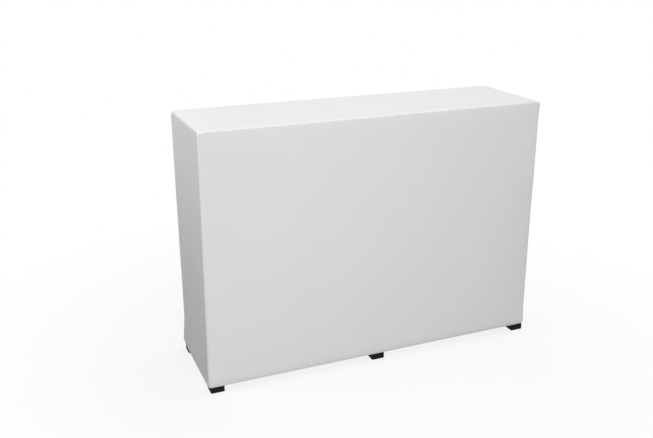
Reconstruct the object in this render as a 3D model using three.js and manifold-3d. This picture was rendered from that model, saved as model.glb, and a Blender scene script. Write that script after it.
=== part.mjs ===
// Folding portable bar: three ladder frames joined by scissor arms, a two-piece top, two shelves
// and a stretch cover that is open at the back. Millimetres, +Z up, the customer's side faces -Y.
// The origin is on the floor under the middle of the bar, which stands open and dressed.
import * as THREE from "three";
import { mergeVertices } from "three/addons/utils/BufferGeometryUtils.js";
import Module from "manifold-3d";

const wasm = await Module();
wasm.setup();

// Outside of the dressed bar
const LENGTH = 1400;
const DEPTH = 400;
const HEIGHT = 1000;

// Stretch cover
const CLOTH = 1.5;
const CLOTH_FIT = 0.5;
const HEM_LEVEL = 17;
const CLOTH_CORNER = 8;
const END_BOW = 8;
const END_STEPS = 10;
const VALANCE_DROP = 60;
const RETURN_WIDTH = 38;

// Fits shared by the pieces
const SEAT = 0.3;
const STOP_GAP = 4.7;

// Top boards and their locating cleats
const BOARD = 18;
const BOARD_EDGE = 2;
const BOARD_SEAM = 1;
const BOARD_CORNER = 30;
const BOARD_SEAM_CORNER = 4;
const BOARD_END_GAP = 2;
const BOARD_FACE_INSET = 5;
const CLEAT_WIDTH = 12;
const CLEAT_HEIGHT = 20;
const CLEAT_FIT = 0.5;

// Legs and feet
const LEG = 40;
const LEG_WALL = 1.5;
const LEG_CORNER = 3;
const FOOT = 54;
const FOOT_HEIGHT = 24;
const FOOT_CORNER = 5;
const FOOT_END_INSET = 5;
const FOOT_FACE_INSET = 1;
const FOOT_CHAMFER = 1.5;
const CAP_HEIGHT = 6;
const SPIGOT_HEIGHT = 30;
const SPIGOT_WALL = 2.5;

// Cross rails of a ladder frame
const RAIL_WIDTH = 20;
const RAIL_HEIGHT = 30;
const RAIL_WALL = 1.5;

// Shelves and the folded channels that carry them
const CHANNEL_HEIGHT = 20;
const CHANNEL_SHEET = 2;
const SHELF = 12;
const SHELF_CORNER = 6;
const SHELF_EDGE = 1;
const SHELF_FIT = 2;
const SHELF_BEARING = 17;
const SHELF_SETBACK = 4;

// Moulded brackets: a collar round the leg with one or two ears
const COLLAR_WALL = 4;
const COLLAR_HEIGHT = 50;
const COLLAR_FIT = 0.4;
const COLLAR_CORNER = 4;
const EAR = 6;
const EAR_ROOT = 42;

// Scissor arms and their pivots
const ARM_WIDTH = 24;
const ARM_THICK = 8;
const ARM_EDGE = 1;
const ARM_FIT = 0.4;
const ARM_END_GAP = 1.2;
const OPEN_ANGLE = THREE.MathUtils.degToRad(36);
const FOLDED_EAR_GAP = 8;
const PIN = 6;
const PIN_FIT = 0.15;
const PIN_HEAD = 12;
const PIN_HEAD_HEIGHT = 2.4;
const PIN_SHOULDER = 7.2;
const PIN_SHOULDER_HEIGHT = 2;
const PIN_TAIL = 9.6;
const PIN_TAIL_HEIGHT = 1.9;
const ARM_BOSS = 18;

// Clamp knobs on the sliders
const KNOB = 36;
const KNOB_LOBES = 6;
const KNOB_LOBE_STEPS = 8;
const KNOB_LOBE_DEPTH = 2.5;
const KNOB_HEIGHT = 15;
const KNOB_EDGE = 2;
const KNOB_BOSS = 18;
const KNOB_BOSS_HEIGHT = 7;
const STUD = 8;
const ROUND_STEPS = 16;

// Levels and places worked out from the sizes above
const coverInside = CLOTH + CLOTH_FIT;
const boardTop = HEIGHT - coverInside;
const boardBase = boardTop - BOARD;
const legTop = boardBase - SEAT - CAP_HEIGHT;
const legY = DEPTH / 2 - coverInside - FOOT_FACE_INSET - FOOT / 2;
const bay = LENGTH / 2 - coverInside - FOOT_END_INSET - FOOT / 2;
const railLength = 2 * legY - LEG;
const collarHalf = LEG / 2 + COLLAR_FIT + COLLAR_WALL;
const pivotOut = collarHalf + ARM_END_GAP + ARM_WIDTH / 2;
const hubLevel = legTop - RAIL_HEIGHT - STOP_GAP - COLLAR_HEIGHT / 2;
const openSpan = bay - 2 * pivotOut;
const armReach = openSpan / Math.cos(OPEN_ANGLE);
const sliderLevel = hubLevel - armReach * Math.sin(OPEN_ANGLE);
const foldedSpan = ARM_WIDTH + FOLDED_EAR_GAP;
const foldedSliderLevel = hubLevel - Math.sqrt(armReach ** 2 - foldedSpan ** 2);
const channelBase = sliderLevel + COLLAR_HEIGHT / 2 + STOP_GAP;
const shelfLevel = channelBase + CHANNEL_HEIGHT;
const bottomRailBase = foldedSliderLevel - COLLAR_HEIGHT / 2 - STOP_GAP - RAIL_HEIGHT;
const armLayer = EAR / 2 + ARM_FIT + ARM_THICK / 2;
const armOuterFace = EAR / 2 + ARM_FIT + ARM_THICK;

const cloth = new THREE.MeshStandardMaterial({ color: 0xf0f0ee, roughness: 0.85, metalness: 0 });
const coatedSteel = new THREE.MeshStandardMaterial({ color: 0xb9bcbf, roughness: 0.5, metalness: 0.3 });
const aluminium = new THREE.MeshStandardMaterial({ color: 0xc9cccd, roughness: 0.35, metalness: 1 });
const nylon = new THREE.MeshStandardMaterial({ color: 0x1b1b1c, roughness: 0.6, metalness: 0 });
const rivetSteel = new THREE.MeshStandardMaterial({ color: 0xa8abad, roughness: 0.3, metalness: 1 });
const melamine = new THREE.MeshStandardMaterial({ color: 0xe9e8e4, roughness: 0.45, metalness: 0 });
const softwood = new THREE.MeshStandardMaterial({ color: 0xc9a878, roughness: 0.7, metalness: 0 });

const bar = new THREE.Group();

function addPiece(parent, name, geometry, material, x = 0, y = 0, z = 0) {
  const piece = new THREE.Mesh(geometry, material);
  piece.name = name;
  piece.position.set(x, y, z);
  parent.add(piece);
  return piece;
}

// Outlines and extrusions

// Centred on the drawing plane's origin; the two corners on the left may have a radius of their own.
function roundedRectangle(width, height, radius, leftRadius = radius) {
  const outline = new THREE.Shape();
  const right = width / 2 - radius;
  const left = width / 2 - leftRadius;
  outline.absarc(right, radius - height / 2, radius, -Math.PI / 2, 0);
  outline.absarc(right, height / 2 - radius, radius, 0, Math.PI / 2);
  outline.absarc(-left, height / 2 - leftRadius, leftRadius, Math.PI / 2, Math.PI);
  outline.absarc(-left, leftRadius - height / 2, leftRadius, Math.PI, 1.5 * Math.PI);
  outline.closePath();
  return outline;
}

function rectangle(x0, y0, x1, y1) {
  const outline = new THREE.Shape();
  outline.moveTo(x0, y0);
  outline.lineTo(x1, y0);
  outline.lineTo(x1, y1);
  outline.lineTo(x0, y1);
  outline.closePath();
  return outline;
}

function circularHole(x, y, radius) {
  const hole = new THREE.Path();
  hole.absarc(x, y, radius, 0, 2 * Math.PI, true);
  return hole;
}

// Extrudes along +Z from the drawing plane; an edge gives both ends a chamfer inside the outline.
function extrude(outline, depth, edge = 0, curveSegments = 3) {
  const geometry = new THREE.ExtrudeGeometry(outline, {
    depth: depth - 2 * edge,
    steps: 1,
    curveSegments,
    bevelEnabled: edge > 0,
    bevelThickness: edge,
    bevelSize: edge,
    bevelOffset: -edge,
    bevelSegments: 1,
  });
  geometry.translate(0, 0, edge);
  return geometry;
}

// Turns a drawing made in X and Z so that its extrusion runs along Y, centred on the drawing plane.
function extrudeAlongY(outline, depth, edge = 0, curveSegments = 3) {
  const geometry = extrude(outline, depth, edge, curveSegments);
  geometry.translate(0, 0, -depth / 2);
  geometry.rotateX(Math.PI / 2);
  return geometry;
}

function lathe(profile) {
  const points = profile.map(([radius, along]) => new THREE.Vector2(radius, along));
  return new THREE.LatheGeometry(points, ROUND_STEPS);
}

// Joins and cuts of closed geometries

function toSolid(geometry) {
  const bare = new THREE.BufferGeometry();
  bare.setAttribute("position", geometry.getAttribute("position").clone());
  if (geometry.index) bare.setIndex(geometry.index.clone());
  const merged = mergeVertices(bare, 1e-3);
  const vertProperties = new Float32Array(merged.getAttribute("position").array);
  const triVerts = new Uint32Array(merged.index.array);
  return new wasm.Manifold(new wasm.Mesh({ numProp: 3, vertProperties, triVerts }));
}

function toGeometry(solid) {
  const mesh = solid.getMesh();
  const geometry = new THREE.BufferGeometry();
  geometry.setAttribute("position", new THREE.BufferAttribute(new Float32Array(mesh.vertProperties), 3));
  geometry.setIndex(new THREE.BufferAttribute(new Uint32Array(mesh.triVerts), 1));
  geometry.computeVertexNormals();
  return geometry;
}

function join(...geometries) {
  const solids = geometries.map(toSolid);
  return toGeometry(solids.reduce((whole, next) => whole.add(next)));
}

function cut(geometry, ...tools) {
  const solids = tools.map(toSolid);
  return toGeometry(solids.reduce((whole, next) => whole.subtract(next), toSolid(geometry)));
}

// Ladder frames

function legGeometry() {
  const section = roundedRectangle(LEG, LEG, LEG_CORNER);
  const bore = LEG - 2 * LEG_WALL;
  section.holes.push(roundedRectangle(bore, bore, LEG_CORNER / 2));
  return extrude(section, legTop - FOOT_HEIGHT);
}

// A moulded end for a leg: a chamfered pad with a hollow spigot that plugs the tube. It stands on
// the pad's outer face; a foot is used as drawn and a cap is turned over.
function legEndGeometry(padHeight) {
  const pad = extrude(roundedRectangle(FOOT, FOOT, FOOT_CORNER), padHeight, FOOT_CHAMFER);
  const spigotSide = LEG - 2 * LEG_WALL - 2 * SEAT;
  const spigotOutline = roundedRectangle(spigotSide, spigotSide, LEG_CORNER);
  const pocketHalf = spigotSide / 2 - SPIGOT_WALL;
  const spigotTop = padHeight + SPIGOT_HEIGHT;
  const spigot = extrude(spigotOutline, spigotTop - FOOT_CHAMFER);
  spigot.translate(0, 0, FOOT_CHAMFER);
  const pocket = extrude(rectangle(-pocketHalf, -pocketHalf, pocketHalf, pocketHalf), spigotTop);
  pocket.translate(0, 0, padHeight);
  return cut(join(pad, spigot), pocket);
}

function railGeometry() {
  const section = rectangle(-RAIL_WIDTH / 2, 0, RAIL_WIDTH / 2, RAIL_HEIGHT);
  const bore = new THREE.Path();
  bore.moveTo(-RAIL_WIDTH / 2 + RAIL_WALL, RAIL_WALL);
  bore.lineTo(-RAIL_WIDTH / 2 + RAIL_WALL, RAIL_HEIGHT - RAIL_WALL);
  bore.lineTo(RAIL_WIDTH / 2 - RAIL_WALL, RAIL_HEIGHT - RAIL_WALL);
  bore.lineTo(RAIL_WIDTH / 2 - RAIL_WALL, RAIL_WALL);
  bore.closePath();
  section.holes.push(bore);
  return extrudeAlongY(section, railLength);
}

// Folded sheet channel with its lips down; it reaches from left to right of the leg's centre line.
function channelGeometry(left, right) {
  const section = new THREE.Shape();
  section.moveTo(left, 0);
  section.lineTo(left + CHANNEL_SHEET, 0);
  section.lineTo(left + CHANNEL_SHEET, CHANNEL_HEIGHT - CHANNEL_SHEET);
  section.lineTo(right - CHANNEL_SHEET, CHANNEL_HEIGHT - CHANNEL_SHEET);
  section.lineTo(right - CHANNEL_SHEET, 0);
  section.lineTo(right, 0);
  section.lineTo(right, CHANNEL_HEIGHT);
  section.lineTo(left, CHANNEL_HEIGHT);
  section.closePath();
  return extrudeAlongY(section, railLength);
}

// Collar round a leg from the bracket's base up, measured from the pivot level.
function collarGeometry(height) {
  const outside = 2 * collarHalf;
  const bore = LEG + 2 * COLLAR_FIT;
  const section = roundedRectangle(outside, outside, COLLAR_CORNER);
  section.holes.push(roundedRectangle(bore, bore, LEG_CORNER + COLLAR_FIT));
  const collar = extrude(section, height);
  collar.translate(0, 0, -COLLAR_HEIGHT / 2);
  return collar;
}

// Fixed corner bracket: a long collar with a cap over the leg's end and a slot for the top rail.
function hubGeometry(earSides) {
  const capBase = legTop - hubLevel + SEAT;
  const collar = collarGeometry(capBase + CAP_HEIGHT / 2 + COLLAR_HEIGHT / 2);
  const cap = extrude(roundedRectangle(FOOT, FOOT, FOOT_CORNER), CAP_HEIGHT - SEAT, FOOT_CHAMFER);
  cap.translate(0, 0, capBase);
  const slotHalf = RAIL_WIDTH / 2 + SEAT;
  const slotHeight = RAIL_HEIGHT + 2 * SEAT;
  const slot = extrude(rectangle(-slotHalf, LEG / 2, slotHalf, LEG / 2 + FOOT), slotHeight);
  slot.translate(0, 0, capBase - slotHeight);
  return cut(join(collar, cap, ...earSides.map(earGeometry)), slot);
}

// Sliding bracket: a short collar with a boss for the clamp knob on its inner face.
function sliderGeometry(earSides) {
  const bossLength = COLLAR_WALL + KNOB_BOSS_HEIGHT;
  const bossMiddle = collarHalf - COLLAR_WALL + bossLength / 2;
  const bossBody = new THREE.CylinderGeometry(KNOB_BOSS / 2, KNOB_BOSS / 2, bossLength, ROUND_STEPS);
  bossBody.translate(0, bossMiddle, 0);
  const holeRadius = STUD / 2 + SEAT;
  const studHole = new THREE.CylinderGeometry(holeRadius, holeRadius, 2 * bossLength, ROUND_STEPS);
  studHole.translate(0, bossMiddle, 0);
  return cut(join(collarGeometry(COLLAR_HEIGHT), ...earSides.map(earGeometry), bossBody), studHole);
}

// Tapered ear in the middle plane of the bracket, with its pivot hole.
function earGeometry(side) {
  const root = side * (collarHalf - COLLAR_WALL / 2);
  const pivot = side * pivotOut;
  const radius = ARM_WIDTH / 2;
  const outline = new THREE.Shape();
  outline.moveTo(root, -side * EAR_ROOT / 2);
  outline.lineTo(pivot, -side * radius);
  const from = side > 0 ? -Math.PI / 2 : Math.PI / 2;
  outline.absarc(pivot, 0, radius, from, from + Math.PI);
  outline.lineTo(root, side * EAR_ROOT / 2);
  outline.closePath();
  outline.holes.push(circularHole(pivot, 0, PIN / 2 + PIN_FIT));
  return extrudeAlongY(outline, EAR, 0, ROUND_STEPS / 2);
}

// Pivot rivet along Y: it grips from one face to the other, with a domed head and a flat tail.
function pinGeometry(headFace, tailFace) {
  const shank = PIN / 2;
  const tail = PIN_TAIL / 2;
  const headBase = headFace - SEAT;
  const tailBase = tailFace + SEAT;
  return lathe([
    [0, headBase - PIN_HEAD_HEIGHT],
    [PIN_SHOULDER / 2, headBase - PIN_SHOULDER_HEIGHT],
    [PIN_HEAD / 2, headBase],
    [shank, headBase],
    [shank, tailBase],
    [tail, tailBase],
    [tail, tailBase + PIN_TAIL_HEIGHT],
    [0, tailBase + PIN_TAIL_HEIGHT],
  ]);
}

// Flat arm with round ends; a boss on one side keeps it clear of the arm that it crosses.
function armGeometry(bossSide) {
  const radius = ARM_WIDTH / 2;
  const outline = new THREE.Shape();
  outline.absarc(armReach / 2, 0, radius, -Math.PI / 2, Math.PI / 2);
  outline.absarc(-armReach / 2, 0, radius, Math.PI / 2, 1.5 * Math.PI);
  outline.closePath();
  for (const along of [-armReach / 2, 0, armReach / 2]) {
    outline.holes.push(circularHole(along, 0, PIN / 2 + PIN_FIT));
  }
  const arm = extrudeAlongY(outline, ARM_THICK, 0, ROUND_STEPS / 2);
  if (bossSide === 0) return arm;
  const bossHeight = EAR + 2 * ARM_FIT - SEAT;
  const bore = PIN / 2 + PIN_FIT;
  const boss = lathe([
    [bore, -ARM_THICK / 4],
    [ARM_BOSS / 2, -ARM_THICK / 4],
    [ARM_BOSS / 2, bossHeight],
    [bore, bossHeight],
    [bore, -ARM_THICK / 4],
  ]);
  boss.translate(0, ARM_THICK / 2, 0);
  return join(arm, boss);
}

// Lobed clamp knob on a stud whose tip stops just short of the leg.
function knobGeometry() {
  const bossFace = collarHalf + KNOB_BOSS_HEIGHT;
  const grip = new THREE.Shape();
  const steps = KNOB_LOBES * KNOB_LOBE_STEPS;
  for (let step = 0; step < steps; step += 1) {
    const turn = (2 * Math.PI * step) / steps;
    const radius = KNOB / 2 - KNOB_LOBE_DEPTH * (0.5 - 0.5 * Math.cos(KNOB_LOBES * turn));
    const place = [radius * Math.cos(turn), radius * Math.sin(turn)];
    if (step === 0) grip.moveTo(...place);
    else grip.lineTo(...place);
  }
  grip.closePath();
  const head = extrudeAlongY(grip, KNOB_HEIGHT, KNOB_EDGE);
  head.translate(0, bossFace + SEAT + KNOB_HEIGHT / 2, 0);
  const studStart = LEG / 2 + SEAT;
  const studEnd = bossFace + KNOB_HEIGHT / 2;
  const stud = new THREE.CylinderGeometry(STUD / 2, STUD / 2, studEnd - studStart, ROUND_STEPS);
  stud.translate(0, (studStart + studEnd) / 2, 0);
  return join(head, stud);
}

// One ladder frame at its place along the bar; the names start with the frame's own name.
function addFrame(name, x, channelLeft, channelRight, earSides) {
  const frame = new THREE.Group();
  frame.position.x = x;
  for (const [end, y] of [["front", -legY], ["rear", legY]]) {
    addPiece(frame, `${name}_${end}_leg`, legGeometry(), coatedSteel, 0, y, FOOT_HEIGHT);
    addPiece(frame, `${name}_${end}_foot`, legEndGeometry(FOOT_HEIGHT), nylon, 0, y, 0);
  }
  const capTop = legTop + CAP_HEIGHT;
  const cap = addPiece(frame, `${name}_rear_cap`, legEndGeometry(CAP_HEIGHT), nylon, 0, legY, capTop);
  cap.rotation.x = Math.PI;
  addPiece(frame, `${name}_top_rail`, railGeometry(), coatedSteel, 0, 0, legTop - RAIL_HEIGHT);
  addPiece(frame, `${name}_bottom_rail`, railGeometry(), coatedSteel, 0, 0, bottomRailBase);
  const channel = channelGeometry(channelLeft, channelRight);
  addPiece(frame, `${name}_shelf_channel`, channel, coatedSteel, 0, 0, channelBase);
  addPiece(frame, `${name}_hub`, hubGeometry(earSides), nylon, 0, -legY, hubLevel);
  addPiece(frame, `${name}_slider`, sliderGeometry(earSides), nylon, 0, -legY, sliderLevel);
  addPiece(frame, `${name}_clamp_knob`, knobGeometry(), nylon, 0, -legY, sliderLevel);
  bar.add(frame);
}

const channelReach = LEG / 2 + SHELF_FIT + SHELF_BEARING;
addFrame("left", -bay, -RAIL_WIDTH / 2, channelReach, [1]);
addFrame("middle", 0, -channelReach, channelReach, [-1, 1]);
addFrame("right", bay, -channelReach, RAIL_WIDTH / 2, [-1]);

// Scissor pair of one bay. The hub arm hangs from the middle hub and ends on the outer slider;
// the slider arm hangs from the outer hub and ends on the middle slider.
function addScissor(name, side) {
  const middleX = (side * bay) / 2;
  const middleZ = (hubLevel + sliderLevel) / 2;
  const innerX = side * pivotOut;
  const outerX = side * (bay - pivotOut);
  const frontY = -legY - armLayer;
  const rearY = -legY + armLayer;
  const hubArm = addPiece(bar, `${name}_hub_arm`, armGeometry(1), aluminium, middleX, frontY, middleZ);
  hubArm.rotation.y = side * OPEN_ANGLE;
  const sliderArm = addPiece(bar, `${name}_slider_arm`, armGeometry(0), aluminium, middleX, rearY, middleZ);
  sliderArm.rotation.y = -side * OPEN_ANGLE;
  const frontPin = () => pinGeometry(-armOuterFace, EAR / 2);
  const rearPin = () => pinGeometry(-armOuterFace, EAR / 2).rotateX(Math.PI);
  addPiece(bar, `${name}_inner_hub_pin`, frontPin(), rivetSteel, innerX, -legY, hubLevel);
  addPiece(bar, `${name}_outer_slider_pin`, frontPin(), rivetSteel, outerX, -legY, sliderLevel);
  addPiece(bar, `${name}_outer_hub_pin`, rearPin(), rivetSteel, outerX, -legY, hubLevel);
  addPiece(bar, `${name}_inner_slider_pin`, rearPin(), rivetSteel, innerX, -legY, sliderLevel);
  const crossPin = pinGeometry(-armOuterFace, armOuterFace);
  addPiece(bar, `${name}_cross_pin`, crossPin, rivetSteel, middleX, -legY, middleZ);
}

addScissor("left", -1);
addScissor("right", 1);

// Half of the top, with the cleat that sits against the middle frame's top rail between its caps. Its
// outer corners are round, to spare the cover, and it stops short of where the cover draws in.
function addTop(name, side) {
  const length = LENGTH / 2 - coverInside - END_BOW - BOARD_END_GAP - BOARD_SEAM / 2;
  const width = DEPTH - 2 * coverInside - 2 * BOARD_FACE_INSET;
  const outline = roundedRectangle(length, width, BOARD_CORNER, BOARD_SEAM_CORNER);
  const board = extrude(outline, BOARD, BOARD_EDGE);
  if (side < 0) board.rotateZ(Math.PI);
  addPiece(bar, `${name}_top_board`, board, melamine, side * (BOARD_SEAM / 2 + length / 2), 0, boardBase);
  const cleatLength = 2 * legY - FOOT - 2 * CLEAT_FIT;
  const cleatHalf = CLEAT_WIDTH / 2;
  const cleat = extrude(rectangle(-cleatHalf, -cleatLength / 2, cleatHalf, cleatLength / 2), CLEAT_HEIGHT);
  const cleatX = side * (RAIL_WIDTH / 2 + CLEAT_FIT + CLEAT_WIDTH / 2);
  addPiece(bar, `${name}_top_cleat`, cleat, softwood, cleatX, 0, boardBase - CLEAT_HEIGHT);
}

addTop("left", -1);
addTop("right", 1);

// Shelf that lies on the channels and draws out between the rear legs.
function addShelf(name, side) {
  const inner = LEG / 2 + SHELF_FIT;
  const length = bay - 2 * inner;
  const width = railLength - 2 * SHELF_SETBACK;
  const board = extrude(roundedRectangle(length, width, SHELF_CORNER), SHELF, SHELF_EDGE);
  addPiece(bar, `${name}_shelf`, board, melamine, (side * bay) / 2, 0, shelfLevel + SEAT);
}

addShelf("left", -1);
addShelf("right", 1);

// Plan of the cover's top: round corners, and ends that draw in between them.
function coverOutline() {
  const outline = new THREE.Shape();
  const x = LENGTH / 2 - CLOTH_CORNER;
  const y = DEPTH / 2 - CLOTH_CORNER;
  const drawnIn = LENGTH / 2 - 2 * END_BOW;
  outline.absarc(x, -y, CLOTH_CORNER, -Math.PI / 2, 0);
  outline.quadraticCurveTo(drawnIn, 0, LENGTH / 2, y);
  outline.absarc(x, y, CLOTH_CORNER, 0, Math.PI / 2);
  outline.absarc(-x, y, CLOTH_CORNER, Math.PI / 2, Math.PI);
  outline.quadraticCurveTo(-drawnIn, 0, -LENGTH / 2, -y);
  outline.absarc(-x, -y, CLOTH_CORNER, Math.PI, 1.5 * Math.PI);
  outline.closePath();
  return outline;
}

// Plan of the right end panel, with its outer face drawn in from x = 0; the left one is turned round.
function endPanelOutline() {
  const half = DEPTH / 2 - CLOTH - SEAT;
  const outline = new THREE.Shape();
  outline.moveTo(0, -half);
  outline.quadraticCurveTo(-2 * END_BOW, 0, 0, half);
  outline.lineTo(-CLOTH, half);
  outline.quadraticCurveTo(-2 * END_BOW - CLOTH, 0, -CLOTH, -half);
  outline.closePath();
  return outline;
}

// Cover panels as they are cut, each stopping just short of the panel that it is sewn to.
function addCover() {
  const wallTop = HEIGHT - CLOTH - SEAT;
  const wallHeight = wallTop - HEM_LEVEL;
  const top = extrude(coverOutline(), CLOTH, 0, END_STEPS);
  addPiece(bar, "cover_top", top, cloth, 0, 0, HEIGHT - CLOTH);
  const front = extrudeAlongY(rectangle(-LENGTH / 2, 0, LENGTH / 2, wallHeight), CLOTH);
  addPiece(bar, "cover_front", front, cloth, 0, -DEPTH / 2 + CLOTH / 2, HEM_LEVEL);
  for (const [name, side] of [["left", -1], ["right", 1]]) {
    const panel = extrude(endPanelOutline(), wallHeight, 0, END_STEPS);
    if (side < 0) panel.rotateZ(Math.PI);
    addPiece(bar, `cover_${name}`, panel, cloth, (side * LENGTH) / 2, 0, HEM_LEVEL);
    const strip = extrudeAlongY(rectangle(-RETURN_WIDTH / 2, 0, RETURN_WIDTH / 2, wallHeight), CLOTH);
    const stripX = side * (LENGTH / 2 - RETURN_WIDTH / 2);
    addPiece(bar, `cover_${name}_return`, strip, cloth, stripX, DEPTH / 2 - CLOTH / 2, HEM_LEVEL);
  }
  const valanceHalf = LENGTH / 2 - RETURN_WIDTH - SEAT;
  const valance = extrudeAlongY(rectangle(-valanceHalf, 0, valanceHalf, VALANCE_DROP), CLOTH);
  addPiece(bar, "cover_rear_valance", valance, cloth, 0, DEPTH / 2 - CLOTH / 2, wallTop - VALANCE_DROP);
}

addCover();

export default bar;
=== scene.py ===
"""Dresses a folding portable bar: a white stretch cover over three ladder frames and their scissor arms.

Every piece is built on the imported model, which stays fixed. Lengths are in metres, +Z is up."""

import math

import bmesh
import bpy
from mathutils import Matrix, Vector


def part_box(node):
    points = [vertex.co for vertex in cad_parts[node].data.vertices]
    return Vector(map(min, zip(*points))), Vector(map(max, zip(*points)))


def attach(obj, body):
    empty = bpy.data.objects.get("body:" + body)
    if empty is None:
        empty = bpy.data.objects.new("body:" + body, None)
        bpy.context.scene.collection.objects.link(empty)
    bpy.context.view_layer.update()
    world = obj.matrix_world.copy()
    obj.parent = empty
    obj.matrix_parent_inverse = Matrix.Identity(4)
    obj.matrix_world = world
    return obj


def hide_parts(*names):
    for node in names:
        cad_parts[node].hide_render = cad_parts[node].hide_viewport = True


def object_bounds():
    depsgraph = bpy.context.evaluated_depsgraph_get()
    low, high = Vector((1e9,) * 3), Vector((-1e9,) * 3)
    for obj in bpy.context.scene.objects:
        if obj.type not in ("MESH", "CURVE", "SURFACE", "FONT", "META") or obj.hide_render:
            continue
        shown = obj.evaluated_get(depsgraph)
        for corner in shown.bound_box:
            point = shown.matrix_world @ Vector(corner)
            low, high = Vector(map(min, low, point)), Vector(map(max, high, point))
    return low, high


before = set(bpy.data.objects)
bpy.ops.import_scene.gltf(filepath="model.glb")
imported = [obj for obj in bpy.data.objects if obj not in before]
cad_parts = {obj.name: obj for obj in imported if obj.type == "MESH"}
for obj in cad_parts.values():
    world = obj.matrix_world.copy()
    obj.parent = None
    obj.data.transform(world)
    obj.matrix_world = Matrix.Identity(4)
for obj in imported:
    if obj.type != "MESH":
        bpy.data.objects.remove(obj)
CAD_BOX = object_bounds()

bl_info = {
    "name": "Folding portable bar",
    "version": (1, 0, 0),
    "blender": (4, 5, 0),
    "location": "3D View > Sidebar > Portable bar",
    "description": "Builds the cover, the fittings, the finishes and the stage of a folding portable bar",
    "category": "Add Mesh",
}

MM = 0.001
# Places closer together than this count as one.
TOUCH = 0.01 * MM
UP = Vector((0, 0, 1))
REARWARD = Vector((0, 1, 0))
SIDES = ("left", "right")
FRAMES = ("left", "middle", "right")
ENDS = ("front", "rear")


def linear(colour):
    """The linear values of an sRGB hex colour such as "#F2F2F0"."""
    channels = [int(colour[place:place + 2], 16) / 255 for place in (1, 3, 5)]
    return [c / 12.92 if c <= 0.04045 else ((c + 0.055) / 1.055) ** 2.4 for c in channels]


def per_metre(size_in_mm):
    """How many steps of that many millimetres fit in a metre, which is a texture's scale."""
    return 1 / (size_in_mm * MM)


def wave_scale(spacing_in_mm):
    """The scale at which a wave texture repeats every so many millimetres. It turns 20 radians a unit."""
    return 2 * math.pi / 20 * per_metre(spacing_in_mm)


def fade(distance, reach):
    """1 at no distance, falling smoothly to 0 at reach and beyond."""
    t = min(max(distance / reach, 0.0), 1.0)
    return 1.0 - t * t * (3.0 - 2.0 * t)


class CoverSettings(bpy.types.PropertyGroup):
    """The stretch cover's cut and how it pulls over the frame."""

    cloth: bpy.props.FloatProperty(
        name="Cloth", description="Thickness of the knit", default=1.2 * MM, unit="LENGTH")
    edge: bpy.props.FloatProperty(
        name="Edge", description="Radius that the cloth takes over the edges",
        default=5.5 * MM, unit="LENGTH")
    mesh_step: bpy.props.FloatProperty(
        name="Mesh step", description="Spacing of the cloth's mesh", default=20 * MM, unit="LENGTH")
    end_bow: bpy.props.FloatProperty(
        name="End bow", description="How far each end draws in between its legs",
        default=9 * MM, unit="LENGTH")
    end_sag: bpy.props.FloatProperty(
        name="End sag", description="How far the cloth sags past the board's ends",
        default=6 * MM, unit="LENGTH")
    edge_bow: bpy.props.FloatProperty(
        name="Edge bow", description="How far the long top edges draw in",
        default=4 * MM, unit="LENGTH")
    edge_ease: bpy.props.FloatProperty(
        name="Edge ease", description="How far the front rounds off to its upright edges",
        default=5 * MM, unit="LENGTH")
    front_corner: bpy.props.FloatProperty(
        name="Front corner", description="Radius of the upright front edges",
        default=12.5 * MM, unit="LENGTH")
    rear_corner: bpy.props.FloatProperty(
        name="Rear corner", description="Radius of the top's rear corners",
        default=16 * MM, unit="LENGTH")
    hem_rise: bpy.props.FloatProperty(
        name="Hem rise", description="How far the stretch lifts the hem",
        default=8.8 * MM, unit="LENGTH")
    rear_rise: bpy.props.FloatProperty(
        name="Rear rise", description="How much more it lifts at the rear feet",
        default=12.5 * MM, unit="LENGTH")
    seam_ridge: bpy.props.FloatProperty(
        name="Seam ridge", description="How far the seam under the top stands out",
        default=0.15 * MM, unit="LENGTH")
    corner_drop: bpy.props.FloatProperty(
        name="Corner drop", description="How far the cloth drops at a top corner",
        default=7 * MM, unit="LENGTH")
    waist: bpy.props.FloatProperty(
        name="Waist", description="How far the rear edges draw in above the feet",
        default=8 * MM, unit="LENGTH")
    dish: bpy.props.FloatProperty(
        name="Dish", description="How far the front sinks between two legs",
        default=1.6 * MM, unit="LENGTH")
    ripple: bpy.props.FloatProperty(
        name="Ripple", description="Depth of the soft folds low on the ends",
        default=1.6 * MM, unit="LENGTH")
    hem: bpy.props.FloatProperty(
        name="Hem", description="Depth of the turned hem", default=18 * MM, unit="LENGTH")
    hem_curl: bpy.props.FloatProperty(
        name="Hem curl", description="How far the hem draws in over the feet",
        default=4 * MM, unit="LENGTH")
    stitch: bpy.props.FloatProperty(
        name="Stitch", description="Distance from one hem stitch to the next",
        default=5 * MM, unit="LENGTH")
    colour: bpy.props.FloatVectorProperty(
        name="Colour", description="Colour of the knit", default=linear("#F0F0F0"), subtype="COLOR")


class FrameSettings(bpy.types.PropertyGroup):
    """The finishes of the frame, the arms and the boards."""

    coat: bpy.props.FloatVectorProperty(
        name="Coat", description="Powder coat of the frames", default=linear("#B9BCBE"), subtype="COLOR")
    nylon: bpy.props.FloatVectorProperty(
        name="Nylon", description="Hubs, sliders and knobs", default=linear("#1D1D1F"), subtype="COLOR")
    foot: bpy.props.FloatVectorProperty(
        name="Foot", description="Plastic of the feet", default=linear("#0F0F10"), subtype="COLOR")
    board: bpy.props.FloatVectorProperty(
        name="Board", description="Melamine of the top and the shelves",
        default=linear("#E9E8E3"), subtype="COLOR")
    foot_edge: bpy.props.FloatProperty(
        name="Foot edge", description="Radius of the feet's edges", default=2 * MM, unit="LENGTH")


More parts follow.
